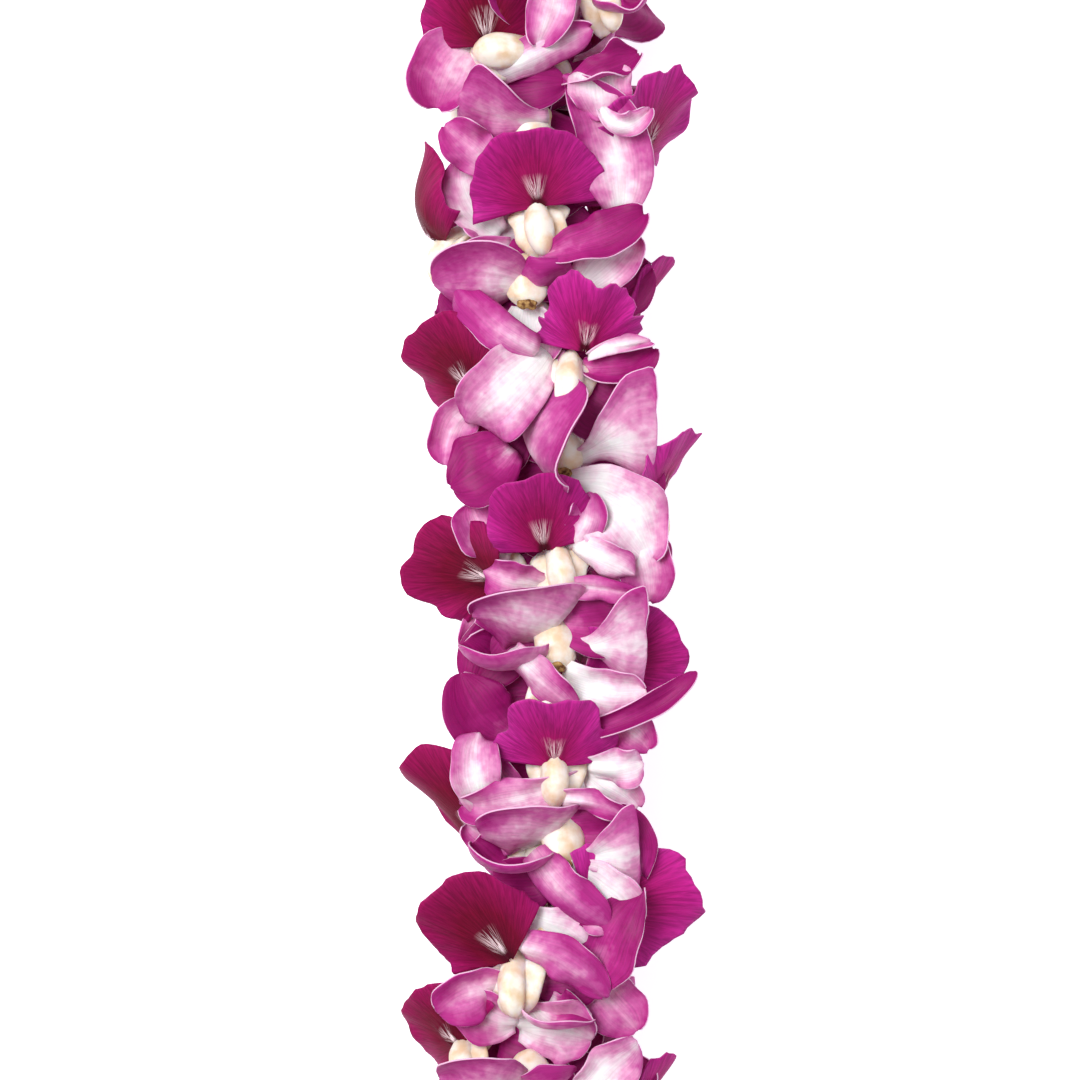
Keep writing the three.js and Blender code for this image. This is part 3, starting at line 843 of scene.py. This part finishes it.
# Twisted undyed cotton: dull off-white, with painted shade in the slanting row of hollows between its plies,
# and a fuzzy edge of sheen.
# The pitch of its plies and the size of its fibres are in millimetres.
cotton = {"light": "f1ede0", "hollowShade": "b9b09a", "plyPitch": 1.1, "lean": 0.3, "slant": 1.4, "fibre": 0.3}


def twistedCotton():
    material, tree, shader = newMaterial("twistedCotton", {
        "Roughness": 0.9, "IOR": 1.5, "Specular IOR Level": 0.3, "Sheen Weight": 0.3, "Sheen Roughness": 0.5,
    })
    place = addNode(tree, "ShaderNodeTexCoord").outputs["Object"]
    turns = 2 * math.pi / (cotton["plyPitch"] * metres)
    lay = (turns * cotton["lean"], turns, turns * cotton["slant"])
    phase = addNode(tree, "ShaderNodeVectorMath", {0: place, 1: lay}, operation="DOT_PRODUCT")
    wave = addNode(tree, "ShaderNodeMath", {0: phase.outputs["Value"]}, operation="SINE")
    fibre = addNode(tree, "ShaderNodeTexNoise", {
        "Vector": place, "Scale": 1 / (cotton["fibre"] * metres), "Detail": 3,
    })
    height = addNode(tree, "ShaderNodeMath", {0: wave.outputs[0], 1: fibre.outputs[0]}, operation="ADD")
    share = addNode(tree, "ShaderNodeMapRange", {0: height.outputs[0], 1: -0.6, 2: 1.2})
    # Darker where the plies dip: painted shade in the hollows between them
    colour = addNode(tree, "ShaderNodeValToRGB", {0: share.outputs[0]},
                     [(0.0, cotton["hollowShade"]), (0.7, cotton["light"])])
    bump = addNode(tree, "ShaderNodeBump", {"Height": height.outputs[0], "Strength": 0.6, "Distance": 0.0002})
    tree.links.new(colour.outputs[0], shader.inputs["Base Color"])
    tree.links.new(bump.outputs[0], shader.inputs["Normal"])
    return material


looks = {
    "petals": [petalSkin("petalUpperFace"), petalSkin("petalUnderside"), petalRimAndHighlight()],
    "lips": [lipSkin("lipUpperFace"), lipSkin("lipUnderside")],
    "columns": [columnWax(), stalkScar()],
}
looks["lips"].append(looks["lips"][1])

# Each part's steps across and along: fine on the near run, which the camera shows, and a little beyond it
nearMargin = 5
fineness = {
    "near": {"sheet": (16, 20), "lip": (40, 20), "bead": (28, 22), "lower": (10, 12)},
    "far": {"sheet": (10, 14), "lip": (24, 12), "bead": (18, 14), "lower": (8, 12)},
}


# A mesh turned to metres, as a piece that sits at the origin
def finishPiece(mesh, name, materials):
    bmesh.ops.scale(mesh, vec=(metres, metres, metres), verts=mesh.verts)
    data = bpy.data.meshes.new(name)
    mesh.to_mesh(data)
    mesh.free()
    for material in materials:
        data.materials.append(material)
    piece = bpy.data.objects.new(name, data)
    bpy.context.scene.collection.objects.link(piece)
    return piece


distances = blossomDistances()
nearLimit = loop["nearRunHalf"] + nearMargin
for pair in range(len(distances) // 2):
    meshes = {kind: bmesh.new() for kind in looks}
    for mesh in meshes.values():
        mesh.verts.layers.float_vector.new("growth")
    for number in (2 * pair, 2 * pair + 1):
        near = abs(distances[number] - loopLength / 2) < nearLimit
        growBlossom(meshes, number, distances[number], fineness["near" if near else "far"])
    for kind, mesh in meshes.items():
        piece = finishPiece(mesh, f"{kind}_{pair + 1:02d}", looks[kind])
        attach(piece, "root")
        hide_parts(f"blossom_pair_{pair + 1:02d}")
cottonMaterial = twistedCotton()
for node in ("thread", "thread_knot"):
    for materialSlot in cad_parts[node].material_slots:
        materialSlot.material = cottonMaterial
print("blossoms grown and strung")

# The stage, in metres: a plain white floor, an even bright room and a large soft light from the upper left
studio = {
    "floorHalf": 3, "floorGlow": 0.75, "room": 0.6,
    "keyPower": 14, "keySize": 0.7, "keyPlace": (-0.4, 0.35, 1.1),
}
scene = bpy.context.scene
scene.view_settings.view_transform = "Standard"
floorMesh = bmesh.new()
bmesh.ops.create_grid(floorMesh, x_segments=1, y_segments=1, size=studio["floorHalf"] / metres)
floorMaterial = newMaterial("litWhiteFloor", {
    "Base Color": linear("eceef4"), "Roughness": 0.9,
    "Emission Color": linear("f6f8ff"), "Emission Strength": studio["floorGlow"],
})[0]
floor = finishPiece(floorMesh, "floor", [floorMaterial])

world = bpy.data.worlds.new("studio")
scene.world = world
world.use_nodes = True
world.node_tree.nodes["Background"].inputs["Color"].default_value = (1, 1, 1, 1)
world.node_tree.nodes["Background"].inputs["Strength"].default_value = studio["room"]

keyData = bpy.data.lights.new("keyLight", "AREA")
keyData.shape = "DISK"
keyData.size = studio["keySize"]
keyData.energy = studio["keyPower"]
key = bpy.data.objects.new("keyLight", keyData)
key.location = studio["keyPlace"]
target = Vector((nearX, 0, 0)) * metres
key.rotation_euler = (target - key.location).to_track_quat("-Z", "Y").to_euler()
scene.collection.objects.link(key)

# The camera looks straight down on the near run, as the photograph does. A pixel's size, the lens and the
# sensor are in millimetres, and strandPixel is how far from the left the photograph has the thread.
view = {"pixels": 1080, "pixelSize": 0.2, "strandPixel": 552, "lens": 100, "sensor": 36}
cameraData = bpy.data.cameras.new("camera")
cameraData.lens = view["lens"]
cameraData.sensor_width = view["sensor"]
camera = bpy.data.objects.new("camera", cameraData)
frameWidth = view["pixels"] * view["pixelSize"]
away = frameWidth * view["lens"] / view["sensor"]
middleX = nearX - (view["strandPixel"] - view["pixels"] / 2) * view["pixelSize"]
camera.location = Vector((middleX, nearY, threadHeight + away)) * metres
scene.collection.objects.link(camera)
scene.camera = camera
print("stage set")

bpy.context.view_layer.update()
